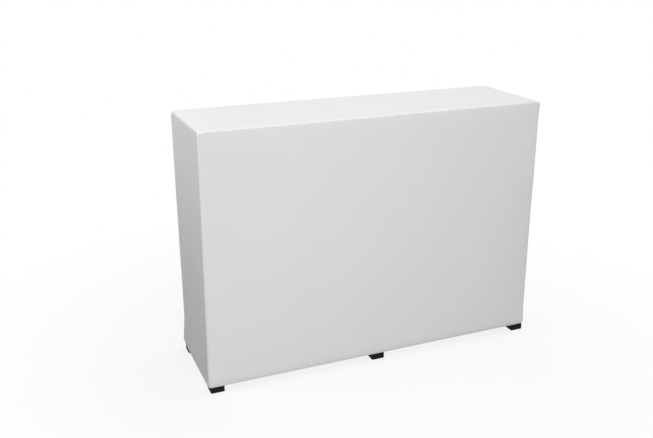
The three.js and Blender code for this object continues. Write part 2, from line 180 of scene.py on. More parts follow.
class StageSettings(bpy.types.PropertyGroup):
    """The camera, the floor and the studio light."""

    camera_place: bpy.props.FloatVectorProperty(
        name="Camera", description="Place of the camera",
        default=(-1.355, -2.873, 1.636), subtype="XYZ")
    camera_turn: bpy.props.FloatProperty(
        name="Turn", description="How far the view turns from +Y towards +X",
        default=0.399, unit="ROTATION")
    camera_tilt: bpy.props.FloatProperty(
        name="Tilt", description="How far the view looks down", default=0.304, unit="ROTATION")
    lens: bpy.props.FloatProperty(
        name="Lens", description="Focal length in millimetres on a 36 mm sensor", default=45.7)
    shift: bpy.props.FloatProperty(
        name="Shift", description="Vertical shift, a share of the picture's width", default=-0.0383)
    ambient: bpy.props.FloatProperty(
        name="Ambient", description="Strength of the even light from all round", default=0.3)
    floor_radius: bpy.props.FloatProperty(
        name="Floor", description="Radius of the floor", default=7.0, unit="LENGTH")


def add(tree, kind, inputs=(), **settings):
    """Adds a node with its own settings. inputs maps a socket to a value or to a (node, output) pair."""
    node = tree.nodes.new(kind)
    for name, value in settings.items():
        setattr(node, name, value)
    for name, value in dict(inputs).items():
        if isinstance(value, tuple):
            tree.links.new(value[0].outputs[value[1]], node.inputs[name])
        else:
            node.inputs[name].default_value = value
    return node


def new_material(name, colour, roughness, metallic=0.0):
    """A material with its shader's constant sockets set. Returns the material, its tree and its shader."""
    material = bpy.data.materials.new(name)
    material.use_nodes = True
    tree = material.node_tree
    shader = tree.nodes["Principled BSDF"]
    shader.inputs["Base Color"].default_value = [*colour, 1.0]
    shader.inputs["Roughness"].default_value = roughness
    shader.inputs["Metallic"].default_value = metallic
    return material, tree, shader


def shade(colour, amount):
    """The colour made darker or lighter by a factor, with full opacity."""
    return [*(min(1.0, channel * amount) for channel in colour), 1.0]


def elastane_knit(colour):
    """White polyester and elastane knit, stretched: fine wales and courses, a soft sheen and no gloss."""
    material, tree, shader = new_material("elastane_knit", colour, roughness=0.85)
    shader.inputs["Specular IOR Level"].default_value = 0.25
    shader.inputs["Sheen Weight"].default_value = 0.15
    shader.inputs["Sheen Roughness"].default_value = 0.5
    panel = add(tree, "ShaderNodeUVMap", uv_map="panel")
    # Real loops are about 0.8 mm apart. They are drawn at 3 mm so that the knit shows from a step away.
    wales = add(tree, "ShaderNodeTexWave", bands_direction="X", inputs={
        "Vector": (panel, "UV"), "Scale": wave_scale(3), "Distortion": 1.0, "Detail": 1.0})
    courses = add(tree, "ShaderNodeTexWave", bands_direction="Y", inputs={
        "Vector": (panel, "UV"), "Scale": wave_scale(3.6), "Distortion": 1.0, "Detail": 1.0})
    loops = add(tree, "ShaderNodeMath", operation="MULTIPLY", inputs={
        0: (wales, "Fac"), 1: (courses, "Fac")})
    place = add(tree, "ShaderNodeTexCoord")
    cloudy = add(tree, "ShaderNodeTexNoise", inputs={
        "Vector": (place, "Object"), "Scale": per_metre(240), "Detail": 3.0})
    # The stretch varies, so the white does too, by about one part in fifty.
    tone = add(tree, "ShaderNodeMix", data_type="RGBA", inputs={
        0: (cloudy, "Fac"), 6: shade(colour, 0.975), 7: shade(colour, 1.015)})
    tree.links.new(tone.outputs[2], shader.inputs["Base Color"])
    bump = add(tree, "ShaderNodeBump", inputs={
        "Strength": 0.25, "Distance": 0.25 * MM, "Height": (loops, "Value")})
    tree.links.new(bump.outputs["Normal"], shader.inputs["Normal"])
    return material


def sewing_thread():
    """White spun polyester thread, a little smoother than the knit that it holds."""
    colour = linear("#EDEDEB")
    material, tree, shader = new_material("sewing_thread", colour, roughness=0.55)
    place = add(tree, "ShaderNodeTexCoord")
    # The twist of a 0.3 mm thread, drawn at 1 mm.
    twist = add(tree, "ShaderNodeTexWave", bands_direction="DIAGONAL", inputs={
        "Vector": (place, "Object"), "Scale": wave_scale(1)})
    tone = add(tree, "ShaderNodeMix", data_type="RGBA", inputs={
        0: (twist, "Fac"), 6: shade(colour, 0.9), 7: shade(colour, 1.0)})
    tree.links.new(tone.outputs[2], shader.inputs["Base Color"])
    return material


def grained(
        name, colour, roughness, grain, depth,
        spread=0.12, metallic=0.0, specular=0.5, stretch=(1, 1, 1), turn=0.0):
    """A surface with a grain of that many millimetres: it breaks up the tone, the gloss and the relief.

    spread is how much the tone varies. stretch draws the grain out, after a turn about the Y axis."""
    material, tree, shader = new_material(name, colour, roughness, metallic)
    shader.inputs["Specular IOR Level"].default_value = specular
    place = add(tree, "ShaderNodeTexCoord")
    turned = add(tree, "ShaderNodeMapping", inputs={
        "Vector": (place, "Object"), "Rotation": [0, turn, 0]})
    drawn = add(tree, "ShaderNodeMapping", inputs={
        "Vector": (turned, "Vector"), "Scale": list(stretch)})
    noise = add(tree, "ShaderNodeTexNoise", inputs={
        "Vector": (drawn, "Vector"), "Scale": per_metre(grain), "Detail": 2.0})
    tone = add(tree, "ShaderNodeMix", data_type="RGBA", inputs={
        0: (noise, "Fac"), 6: shade(colour, 1 - spread), 7: shade(colour, 1 + spread)})
    tree.links.new(tone.outputs[2], shader.inputs["Base Color"])
    gloss = add(tree, "ShaderNodeMapRange", inputs={
        "Value": (noise, "Fac"), "To Min": roughness * 0.8, "To Max": min(1.0, roughness * 1.2)})
    tree.links.new(gloss.outputs["Result"], shader.inputs["Roughness"])
    bump = add(tree, "ShaderNodeBump", inputs={
        "Strength": 0.4, "Distance": depth * MM, "Height": (noise, "Fac")})
    tree.links.new(bump.outputs["Normal"], shader.inputs["Normal"])
    return material


def powder_coated_steel(colour):
    """Polyester powder baked on steel tube: pale grey, satin, with an orange peel about 2 mm across."""
    return grained("powder_coated_steel", colour, 0.42, grain=2, depth=0.05, spread=0.05)


def moulded_nylon(colour):
    """Glass-filled nylon from a spark-eroded mould: black and half matt, with a grain drawn at 1.2 mm."""
    return grained("moulded_nylon", colour, 0.5, grain=1.2, depth=0.06, spread=0.2)


def moulded_polypropylene(colour):
    """Polypropylene from a plain mould, scuffed by floors: near black, matt, its grain drawn at 1.5 mm."""
    return grained(
        "moulded_polypropylene", colour, 0.75, grain=1.5, depth=0.1, spread=0.25, specular=0.15)


def zinc_plated_steel():
    """Bright zinc on turned steel: a pale, slightly warm metal with a cloudy gloss."""
    return grained("zinc_plated_steel", linear("#C6C4BC"), 0.3, grain=4, depth=0.02, metallic=1.0)


def satin_aluminium(name, slope):
    """Extruded aluminium, satin anodised: fine drawing lines 1.5 mm apart run along the arm."""
    return grained(
        name, linear("#A9ACAF"), 0.45, grain=1.5, depth=0.02, spread=0.06, metallic=1.0,
        stretch=(0.02, 1, 1), turn=slope)


def melamine_board(colour):
    """Chipboard faced with white melamine paper: an even satin white with a faint pearl of 3 mm."""
    return grained("melamine_board", colour, 0.4, grain=3, depth=0.04, spread=0.03)


def edging_strip(colour):
    """ABS edging glued on hot: a slightly greyer and smoother white than the board's faces."""
    greyer = [channel * 0.9 for channel in colour]
    return grained("edging_strip", greyer, 0.3, grain=6, depth=0.03, spread=0.03)


def planed_pine():
    """Planed pine: pale yellow, with growth lines about 4 mm apart along the cleat."""
    return grained(
        "planed_pine", linear("#D2AF7C"), 0.65, grain=4, depth=0.1, spread=0.25, stretch=(1, 0.06, 1))


def cover_box():
    """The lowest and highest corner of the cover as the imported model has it."""
    front_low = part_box("cover_front")[0]
    low = Vector((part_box("cover_left")[0].x, front_low.y, front_low.z))
    high = Vector((
        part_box("cover_right")[1].x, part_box("cover_rear_valance")[1].y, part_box("cover_top")[1].z))
    return low, high


COVER_NODES = (
    "cover_top",
    "cover_front",
    "cover_left",
    "cover_right",
    "cover_rear_valance",
    "cover_left_return",
    "cover_right_return",
)
COVER_LOW, COVER_HIGH = cover_box()
OPENING_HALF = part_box("cover_right_return")[0].x
OPENING_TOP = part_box("cover_rear_valance")[0].z
LEG_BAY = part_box("right_front_foot")[1].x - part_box("middle_front_foot")[1].x

# How far in from an end, and from the front or the rear, their pull reaches.
END_REACH = 80 * MM
FACE_REACH = 30 * MM
# An end's bow grows up to this share of the height. The top's edge keeps a share of it.
HEM_BOW_LEVEL = 0.35
TOP_BOW = 0.3
TOP_BOW_HEIGHT = 120 * MM
# The top sags from the board's end to the cover's, and the wall follows it down this far.
SAG_REACH = COVER_HIGH.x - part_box("right_top_board")[1].x
SAG_HEIGHT = 70 * MM
# The waist is narrowest at this share of the height, and fades to the top by this power.
WAIST_LEVEL = 0.15
WAIST_FALL = 1.5
# The soft folds stand this far apart, lean by this many of them over the height, and end half way up.
RIPPLE_SPACING = 210 * MM
RIPPLE_LEAN = 0.6
RIPPLE_LEVEL = 0.5
# The long top edges are held this far from the ends, and their bow dies out down the face.
CORNER_REACH = 110 * MM
EDGE_FALL = 20 * MM
# A top corner's drop dies out along and across the top, and down the walls.
CORNER_END_FALL = 12 * MM
CORNER_FACE_FALL = 9 * MM
CORNER_HEIGHT = 60 * MM
# The rear corners are round only this far down.
ROUNDED_HEIGHT = 22 * MM
# The front rounds off this far from its upright edges.
EASE_REACH = 110 * MM
# It does so less on the hubs' way when the top is lifted, and not at all beside the feet.
HUB_TRAVEL = 280 * MM
HUB_HOLD = 0.7
HUB_CLEAR = 180 * MM
FOOT_LEVEL = 27 * MM
FOOT_CLEAR = 90 * MM
# The hem draws in and rises below these heights, more to the right and more at the rear feet.
HEM_CURL_HEIGHT = 26 * MM
HEM_RISE_HEIGHT = 90 * MM
HEM_SLANT = 0.17
REAR_RISE_REACH = 75 * MM


def height_share(point):
    """A point's height on the cover, from 0 at its hem to 1 at its top."""
    return (point.z - COVER_LOW.z) / (COVER_HIGH.z - COVER_LOW.z)


def near_hem(point, height):
    """1 at the hem, falling to 0 at that height above it."""
    return max(0.0, 1 - (point.z - COVER_LOW.z) / height) ** 2


def between_legs(point):
    """0 at the front and the rear legs, rising to 1 half way between them."""
    return 1 - (abs(point.y) / COVER_HIGH.y) ** 2


def end_pull(point, s):
    """How far an end draws in there: a bow between its legs, a waist at the rear, soft folds and a hem."""
    up = height_share(point)
    above_hem = 1 - fade(up, WAIST_LEVEL)
    at_top = fade(COVER_HIGH.z - point.z, TOP_BOW_HEIGHT)
    bow = s.end_bow * between_legs(point) * (1 - fade(up, HEM_BOW_LEVEL)) * (1 - (1 - TOP_BOW) * at_top)
    towards_rear = (point.y + COVER_HIGH.y) / (2 * COVER_HIGH.y)
    below_top = (max(0.0, 1 - up) / (1 - WAIST_LEVEL)) ** WAIST_FALL
    waist = s.waist * towards_rear ** 2 * min(below_top, above_hem)
    fold = 0.5 - 0.5 * math.cos(2 * math.pi * (point.y / RIPPLE_SPACING + RIPPLE_LEAN * up))
    ripple = s.ripple * fold * between_legs(point) * fade(up, RIPPLE_LEVEL) * above_hem
    curl = s.hem_curl * near_hem(point, HEM_CURL_HEIGHT) * towards_rear
    return bow + waist + ripple + curl


def front_ease(point, s):
    """How far the front rounds off to an upright edge, with room left for the hubs and the feet."""
    if point.y >= 0:
        return 0.0
    at_hubs = HUB_HOLD * fade(COVER_HIGH.z - point.z - HUB_TRAVEL, HUB_CLEAR)
    at_feet = fade(point.z - FOOT_LEVEL, FOOT_CLEAR)
    end = COVER_HIGH.x - abs(point.x)
    return s.edge_ease * (1 - max(at_hubs, at_feet)) * max(0.0, 1 - end / EASE_REACH) ** 2


def face_pull(point, s):
    """How far the front or the rear draws in there: at its top, its upright edges, bays and hem."""
    from_corner = 1 - fade(COVER_HIGH.x - abs(point.x), CORNER_REACH)
    edge_bow = s.edge_bow * from_corner * math.exp((point.z - COVER_HIGH.z) / EDGE_FALL)
    dish = s.dish * math.sin(math.pi * point.x / LEG_BAY) ** 2 * math.sin(math.pi * height_share(point))
    curl = s.hem_curl * near_hem(point, HEM_CURL_HEIGHT)
    return edge_bow + front_ease(point, s) + dish + curl


def lift(point, s):
    """How far a point of the cover moves up. Its hem rises, and its top sags at its ends and corners."""
    end = COVER_HIGH.x - abs(point.x)
    face = COVER_HIGH.y - abs(point.y)
    drop = COVER_HIGH.z - point.z
    at_rear = max(0.0, 1 - face / REAR_RISE_REACH) ** 2 if point.y > 0 else 0.0
    hem_rise = s.hem_rise * (1 + HEM_SLANT * point.x / COVER_HIGH.x) + s.rear_rise * at_rear
    sag = s.end_sag * between_legs(point) * fade(end, SAG_REACH) * fade(drop, SAG_HEIGHT)
    corner = math.exp(-end / CORNER_END_FALL - face / CORNER_FACE_FALL)
    corner_drop = s.corner_drop * corner * fade(drop, CORNER_HEIGHT)
    return hem_rise * near_hem(point, HEM_RISE_HEIGHT) - sag - corner_drop


def corner_cut(point, radius, edge):
    """How far a point moves in, along and across, where the plan's corner is rounder than its edge."""
    along = abs(point.x) - COVER_HIGH.x + radius
    across = abs(point.y) - COVER_HIGH.y + radius
    if along <= 0 or across <= 0:
        return 0, 0
    past_x = along - radius + edge
    past_y = across - radius + edge
    depth = edge - math.hypot(max(past_x, 0), max(past_y, 0)) - min(max(past_x, past_y), 0)
    share = 1 - (radius - depth) / math.hypot(along, across)
    return along * share, across * share


def pulled(point, s):
    """Where the stretch takes a point of the cover: in between the legs, round corners, up at the hem."""
    drop = COVER_HIGH.z - point.z
    front_corner = s.front_corner + (s.edge - s.front_corner) * fade(drop, CORNER_HEIGHT)
    rear_corner = s.edge + (s.rear_corner - s.edge) * fade(drop, ROUNDED_HEIGHT)
    cut_x, cut_y = corner_cut(point, rear_corner if point.y > 0 else front_corner, s.edge)
    in_x = end_pull(point, s) * fade(COVER_HIGH.x - abs(point.x), END_REACH) + cut_x
    in_y = face_pull(point, s) * fade(COVER_HIGH.y - abs(point.y), FACE_REACH) + cut_y
    return Vector((
        point.x - math.copysign(in_x, point.x),
        point.y - math.copysign(in_y, point.y),
        point.z + lift(point, s),
    ))


SMOOTH_ANGLE = math.radians(40)
SLICE_TOLERANCE = 1e-7


def slice_mesh(mesh, axis, places):
    """Cuts the whole mesh square to an axis at each place."""
    normal = Vector([float(axis == index) for index in range(3)])
    for place in places:
        geometry = mesh.verts[:] + mesh.edges[:] + mesh.faces[:]
        bmesh.ops.bisect_plane(
            mesh, geom=geometry, dist=SLICE_TOLERANCE, plane_co=normal * place, plane_no=normal)


def steps_between(low, high, step):
    """Places from low to high, both left out, about a step apart."""
    count = max(1, round((high - low) / step))
    return [low + (high - low) * index / count for index in range(1, count)]


def verts_of(geometry):
    """The vertices among the parts that a bmesh operator made."""
    return [part for part in geometry if isinstance(part, bmesh.types.BMVert)]


def upright_edges(mesh):
    """The edges of a bmesh box that run up it."""
    return [edge for edge in mesh.edges if abs(edge.verts[0].co.z - edge.verts[1].co.z) > TOUCH]


def is_level(face):
    """Whether a face lies flat, looking up or down."""
    return abs(face.normal.z) > 0.9


def widest_face(mesh, direction):
    """The largest face that looks that way."""
    facing = [face for face in mesh.faces if face.normal.dot(direction) > 0.99]
    return max(facing, key=lambda face: face.calc_area())


def new_box(low, high):
    """A bmesh of one box between two corners."""
    mesh = bmesh.new()
    bmesh.ops.create_cube(mesh, size=1.0)
    bmesh.ops.scale(mesh, vec=high - low, verts=mesh.verts)
    bmesh.ops.translate(mesh, vec=(low + high) / 2, verts=mesh.verts)
    return mesh


def bevelled(mesh, edges, radius, segments=3):
    """Rounds those edges of a bmesh."""
    bmesh.ops.bevel(
        mesh, geom=edges, offset=radius, offset_type="OFFSET", segments=segments, profile=0.5,
        affect="EDGES", material=-1, clamp_overlap=True)


def sunk(mesh, face, margin, depth):
    """Insets a face and pushes its middle along its normal, inwards where the depth is negative."""
    normal = face.normal.copy()
    bmesh.ops.inset_individual(mesh, faces=[face], thickness=margin)
    raised = bmesh.ops.extrude_face_region(mesh, geom=[face])["geom"]
    bmesh.ops.translate(mesh, vec=normal * depth, verts=verts_of(raised))
    if face.is_valid:
        bmesh.ops.delete(mesh, geom=[face], context="FACES_ONLY")


def add_part(mesh, part):
    """Moves all of one bmesh into another."""
    data = bpy.data.meshes.new("part")
    part.to_mesh(data)
    part.free()
    mesh.from_mesh(data)
    bpy.data.meshes.remove(data)


def new_piece(name, mesh, material, body):
    """Makes an object of a bmesh, smooth where its faces meet softly. It moves with that body."""
    for edge in mesh.edges:
        edge.smooth = len(edge.link_faces) == 2 and edge.calc_face_angle(0) < SMOOTH_ANGLE
    data = bpy.data.meshes.new(name)
    mesh.to_mesh(data)
    mesh.free()
    data.polygons.foreach_set("use_smooth", [True] * len(data.polygons))
    data.materials.append(material)
    piece = bpy.data.objects.new(name, data)
    bpy.context.scene.collection.objects.link(piece)
    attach(piece, body)
    return piece


def paint(nodes, material):
    """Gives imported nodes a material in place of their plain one."""
    for node in nodes:
        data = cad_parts[node].data
        data.materials.clear()
        data.materials.append(material)


# The cloth's mesh is finer beside the edges, where it bends most, under the top's edge and at the hem.
EDGE_CUTS = (2 * MM, 4 * MM, 7 * MM, 11 * MM, 16 * MM, 24 * MM, 34 * MM)
SEAM_CUTS = (1 * MM, 1.8 * MM, 2.6 * MM)
UNDER_SEAM_CUTS = (8 * MM, 16 * MM)
HEM_CUTS = (0.2, 0.6, 1.0)
# The layers of a hem lie this many thicknesses of cloth apart.
HEM_GAP = 2.2
# The rows of stitches lie this far from the hem's raw edge.
HEM_ROWS = (2 * MM, 8 * MM)
# The thread's radius, and half a stitch as a share of the distance to the next one.
THREAD = 0.3 * MM
STITCH_HALF = 0.36


def map_panels(mesh):
    """Gives the cloth a map in metres, laid flat on each panel, so that the knit runs up the walls."""
    layer = mesh.loops.layers.uv.new("panel")
    for face in mesh.faces:
        size = [abs(part) for part in face.normal]
        across, along = ((1, 2), (0, 2), (0, 1))[size.index(max(size))]
        for loop in face.loops:
            loop[layer].uv = (loop.vert.co[across], loop.vert.co[along])


def at_open_rear(place, s):
    """Whether a point of the cloth's rim lies on the rear, round the opening."""
    behind = COVER_HIGH.y - s.edge / 2 - HEM_GAP * s.cloth
    return place.y > behind and abs(place.x) < COVER_HIGH.x - s.edge


def hem_inward(place, s):
    """The step into the cover from a point of its rim, level and round the upright edges too."""
    gap = HEM_GAP * s.cloth
    if at_open_rear(place, s):
        return -REARWARD * gap
    core = Vector((
        min(max(place.x, COVER_LOW.x + s.edge), COVER_HIGH.x - s.edge),
        min(max(place.y, COVER_LOW.y + s.edge), COVER_HIGH.y - s.edge),
        place.z,
    ))
    return (core - place).normalized() * gap


def hem_back(place, s):
    """The step from the fold of a hem back over the cloth: up from below, and away from the opening."""
    step = Vector((0, 0, 0))
    if place.z < COVER_LOW.z + TOUCH:
        step.z = s.hem
    if at_open_rear(place, s):
        if abs(abs(place.x) - OPENING_HALF) < TOUCH and place.z < OPENING_TOP + TOUCH:
            step.x = math.copysign(s.hem, place.x)
        if abs(place.x) < OPENING_HALF + TOUCH and place.z > OPENING_TOP - TOUCH:
            step.z = s.hem
    return step


def turn_hem(mesh, s):
    """Turns every free edge of the cloth inwards and back on itself, as a sewn hem is."""
    for step in (hem_inward, hem_back):
        rim = [edge for edge in mesh.edges if edge.is_boundary]
        turned = bmesh.ops.extrude_edge_only(mesh, edges=rim)["geom"]
        for vert in verts_of(turned):
            vert.co += step(vert.co, s)


def in_opening(centre):
    """Whether a face of the box lies in the cover's open rear."""
    at_rear = centre.y > COVER_HIGH.y - TOUCH
    return at_rear and abs(centre.x) < OPENING_HALF and centre.z < OPENING_TOP


def cover_mesh(s):
    """The sewn cover: a box of cloth, open below and at the rear, cut fine enough to take its pull."""
    low, high = COVER_LOW, COVER_HIGH
    mesh = new_box(low, high)
    bmesh.ops.delete(mesh, geom=[widest_face(mesh, -UP)], context="FACES_ONLY")
    bevelled(mesh, [edge for edge in mesh.edges if not edge.is_boundary], s.edge, segments=5)
    flat_x = high.x - s.edge
    flat_y = high.y - s.edge
    for axis, flat, opening_sides in ((0, flat_x, [-OPENING_HALF, OPENING_HALF]), (1, flat_y, [])):
        beside_edges = [side * (flat - gap) for side in (-1, 1) for gap in EDGE_CUTS]
        inner = flat - EDGE_CUTS[-1]
        slice_mesh(mesh, axis, beside_edges + steps_between(-inner, inner, s.mesh_step) + opening_sides)
    wall_top = high.z - s.edge
    slice_mesh(mesh, 2, [wall_top - gap for gap in SEAM_CUTS + UNDER_SEAM_CUTS])
    slice_mesh(mesh, 2, [low.z + s.hem * share for share in HEM_CUTS] + [OPENING_TOP])
    slice_mesh(mesh, 2, steps_between(low.z + s.hem, wall_top - UNDER_SEAM_CUTS[-1], s.mesh_step))
    opening = [face for face in mesh.faces if in_opening(face.calc_center_median())]
    bmesh.ops.delete(mesh, geom=opening, context="FACES")
    mesh.normal_update()
    seam = wall_top - SEAM_CUTS[1]
    for vert in mesh.verts:
        if abs(vert.co.z - seam) < TOUCH:
            vert.co += vert.normal * s.seam_ridge
    turn_hem(mesh, s)
    map_panels(mesh)
    for vert in mesh.verts:
        vert.co = pulled(vert.co, s)
    bmesh.ops.recalc_face_normals(mesh, faces=mesh.faces)
    return mesh


class BAR_OT_cover(bpy.types.Operator):
    """Builds the stretch cover with its seam, hems and stitches"""

    bl_idname = "portable_bar.cover"
    bl_label = "Stretch cover"

    def execute(self, context):
        s = context.scene.bar_cover
        knit = elastane_knit(s.colour)
        cover = new_piece("stretch_cover", cover_mesh(s), knit, "cover")
        wall = cover.modifiers.new("cloth", "SOLIDIFY")
        wall.thickness = s.cloth
        wall.offset = -1.0
        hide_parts(*COVER_NODES)
        stitches = new_piece("cover_stitches", stitch_mesh(s), sewing_thread(), "cover")
        return {"FINISHED"}


def stitch_mesh(s):
    """Two rows of stitches along the bottom hem and one round the open rear."""
    low, high = COVER_LOW, COVER_HIGH
    edge_x = high.x - s.edge
    edge_y = high.y - s.edge
    runs = []
    for level in [low.z + s.hem - row for row in HEM_ROWS]:
        runs.append(((-edge_x, low.y, level), (edge_x, low.y, level)))
        for x in (low.x, high.x):
            runs.append(((x, -edge_y, level), (x, edge_y, level)))
        for side in (-1, 1):
            runs.append(((side * (OPENING_HALF + s.hem), high.y, level), (side * edge_x, high.y, level)))
    row_x = OPENING_HALF + s.hem - HEM_ROWS[0]
    row_z = OPENING_TOP + s.hem - HEM_ROWS[0]
    for x in (-row_x, row_x):
        runs.append(((x, high.y, low.z + s.hem), (x, high.y, row_z)))
    runs.append(((-row_x, high.y, row_z), (row_x, high.y, row_z)))
    mesh = bmesh.new()
    for start, stop in runs:
        add_stitch_row(mesh, Vector(start), Vector(stop), s)
    for vert in mesh.verts:
        vert.co = pulled(vert.co, s)
    return mesh


def add_stitch_row(mesh, start, stop, s):
    """Adds a straight row of stitches. The row doubles until it is long enough."""
    run = stop - start
    count = round(run.length / s.stitch)
    step = run / count
    turn = run.to_track_quat("X", "Z").to_matrix().to_4x4()
    size = Matrix.Diagonal((STITCH_HALF * s.stitch, THREAD, THREAD, 1))
    first = Matrix.Translation(start + step / 2) @ turn @ size
    row = bmesh.new()
    bmesh.ops.create_uvsphere(row, u_segments=6, v_segments=4, radius=1.0, matrix=first)
    faces_each = len(row.faces)
    made = 1
    while made < count:
        more = min(made, count - made)
        row.faces.ensure_lookup_table()
        copied = bmesh.ops.duplicate(row, geom=row.faces[:more * faces_each])["geom"]
        bmesh.ops.translate(row, vec=step * made, verts=verts_of(copied))
        made += more
    add_part(mesh, row)


FOOT_CORNER = 5 * MM
FOOT_GROOVE = 9 * MM
FOOT_GROOVE_DEPTH = 0.7 * MM
FOOT_COLLAR_LEDGE = 2.4 * MM
FOOT_COLLAR_HEIGHT = 3 * MM
FOOT_RIM = 5 * MM
FOOT_HOLLOW = 2 * MM


def foot_mesh(node, leg, edge):
    """A moulded foot: a rounded pad with a groove round it, a low collar for the leg and a hollow base."""
    low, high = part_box(node)
    high.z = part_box(leg)[0].z
    mesh = new_box(low, high)
    bevelled(mesh, upright_edges(mesh), FOOT_CORNER)
    rims = [part for part in mesh.edges if any(is_level(face) for face in part.link_faces)]
    bevelled(mesh, rims, edge)
    sunk(mesh, widest_face(mesh, UP), FOOT_COLLAR_LEDGE, FOOT_COLLAR_HEIGHT)
    sunk(mesh, widest_face(mesh, -UP), FOOT_RIM, -FOOT_HOLLOW)
    slice_mesh(mesh, 2, [FOOT_GROOVE + step * FOOT_GROOVE_DEPTH for step in (-1, 0, 1)])
    middle = (low + high) / 2
    for vert in mesh.verts:
        if abs(vert.co.z - FOOT_GROOVE) < TOUCH:
            out = Vector((vert.co.x - middle.x, vert.co.y - middle.y, 0))
            vert.co -= out.normalized() * FOOT_GROOVE_DEPTH
    return mesh


class BAR_OT_feet(bpy.types.Operator):
    """Builds the six moulded feet"""

    bl_idname = "portable_bar.feet"
    bl_label = "Feet"

    def execute(self, context):
        s = context.scene.bar_frame
        plastic = moulded_polypropylene(s.foot)
        for name in FRAMES:
            for end in ENDS:
                node = f"{name}_{end}_foot"
                mesh = foot_mesh(node, f"{name}_{end}_leg", s.foot_edge)
                foot = new_piece(f"{name}_{end}_foot_pad", mesh, plastic, f"{name}_frame")
                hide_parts(node)
        return {"FINISHED"}


FRAME_PARTS = ("front_leg", "rear_leg", "top_rail", "shelf_channel", "bottom_rail")
WELD = 3.5 * MM
WELD_RIPPLE = 3.5 * MM
WELD_RELIEF = 0.3 * MM
WELD_CUTS = 7


def weld_mesh(rail, face, outward):
    """A weld bead round a rail where it meets a leg: a low skirt, rippled as the bead was laid."""
    low, high = rail
    skirt = Vector((WELD, 0, WELD))
    start = Vector((low.x, face, low.z)) - skirt
    stop = Vector((high.x, face + outward * WELD, high.z)) + skirt
    part = new_box(Vector(map(min, start, stop)), Vector(map(max, start, stop)))
    middle = (low + high) / 2
    for vert in part.verts:
        if abs(vert.co.y - stop.y) < TOUCH:
            vert.co.x -= math.copysign(WELD, vert.co.x - middle.x)
            vert.co.z -= math.copysign(WELD, vert.co.z - middle.z)
    bmesh.ops.subdivide_edges(part, edges=part.edges[:], cuts=WELD_CUTS, use_grid_fill=True)
    for vert in part.verts:
        out = Vector((vert.co.x - middle.x, 0, vert.co.z - middle.z)).normalized()
        bulge = math.sin(math.pi * abs(vert.co.y - face) / WELD)
        wave = math.sin(2 * math.pi * (vert.co.x + vert.co.z) / WELD_RIPPLE)
        vert.co += out * bulge * WELD_RELIEF * (2 + wave)
    return part


class BAR_OT_frames(bpy.types.Operator):
    """Finishes the three ladder frames and adds the weld beads at their rails"""

    bl_idname = "portable_bar.frames"
    bl_label = "Ladder frames"

    def execute(self, context):
        s = context.scene.bar_frame
        coat = powder_coated_steel(s.coat)
        for name in FRAMES:
            paint([f"{name}_{part}" for part in FRAME_PARTS], coat)
            beads = bmesh.new()
            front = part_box(f"{name}_front_leg")[1].y
            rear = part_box(f"{name}_rear_leg")[0].y
            for rail in ("top_rail", "bottom_rail"):
                for face, outward in ((front, 1), (rear, -1)):
                    add_part(beads, weld_mesh(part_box(f"{name}_{rail}"), face, outward))
            new_piece(f"{name}_weld_beads", beads, coat, f"{name}_frame")
        return {"FINISHED"}


NYLON_PARTS = ("hub", "rear_cap", "slider", "clamp_knob")
# Two screws stand on a hub's collar behind the leg, this far above its lower end.
COLLAR_WALL = 4.4 * MM
HUB_SCREWS = (14 * MM, 40 * MM)
HUB_SCREW = 4.5 * MM
HUB_SCREW_HEIGHT = 2.4 * MM
KNOB_CAP = 8 * MM
KNOB_CAP_HEIGHT = 1.4 * MM
# A screw's head narrows and rounds off at its top, with a socket: shares of its radius and height.
HEAD_TOP = 0.8
HEAD_ROUND = 0.25
SOCKET_RIM = 0.3
SOCKET_DEPTH = 0.6


def screw_mesh(place, axis, radius, height):
    """A button-head screw with a socket, standing on a face at that place."""
    part = bmesh.new()
    bmesh.ops.create_cone(
        part, cap_ends=True, segments=18, radius1=radius, radius2=HEAD_TOP * radius, depth=height,
        matrix=Matrix.Translation(UP * height / 2))
    top = widest_face(part, UP)
    bevelled(part, top.edges[:], HEAD_ROUND * height, segments=2)
    sunk(part, widest_face(part, UP), SOCKET_RIM * radius, -SOCKET_DEPTH * height)
    turn = axis.to_track_quat("Z", "Y").to_matrix().to_4x4()
    bmesh.ops.transform(part, matrix=Matrix.Translation(place) @ turn, verts=part.verts)
    return part


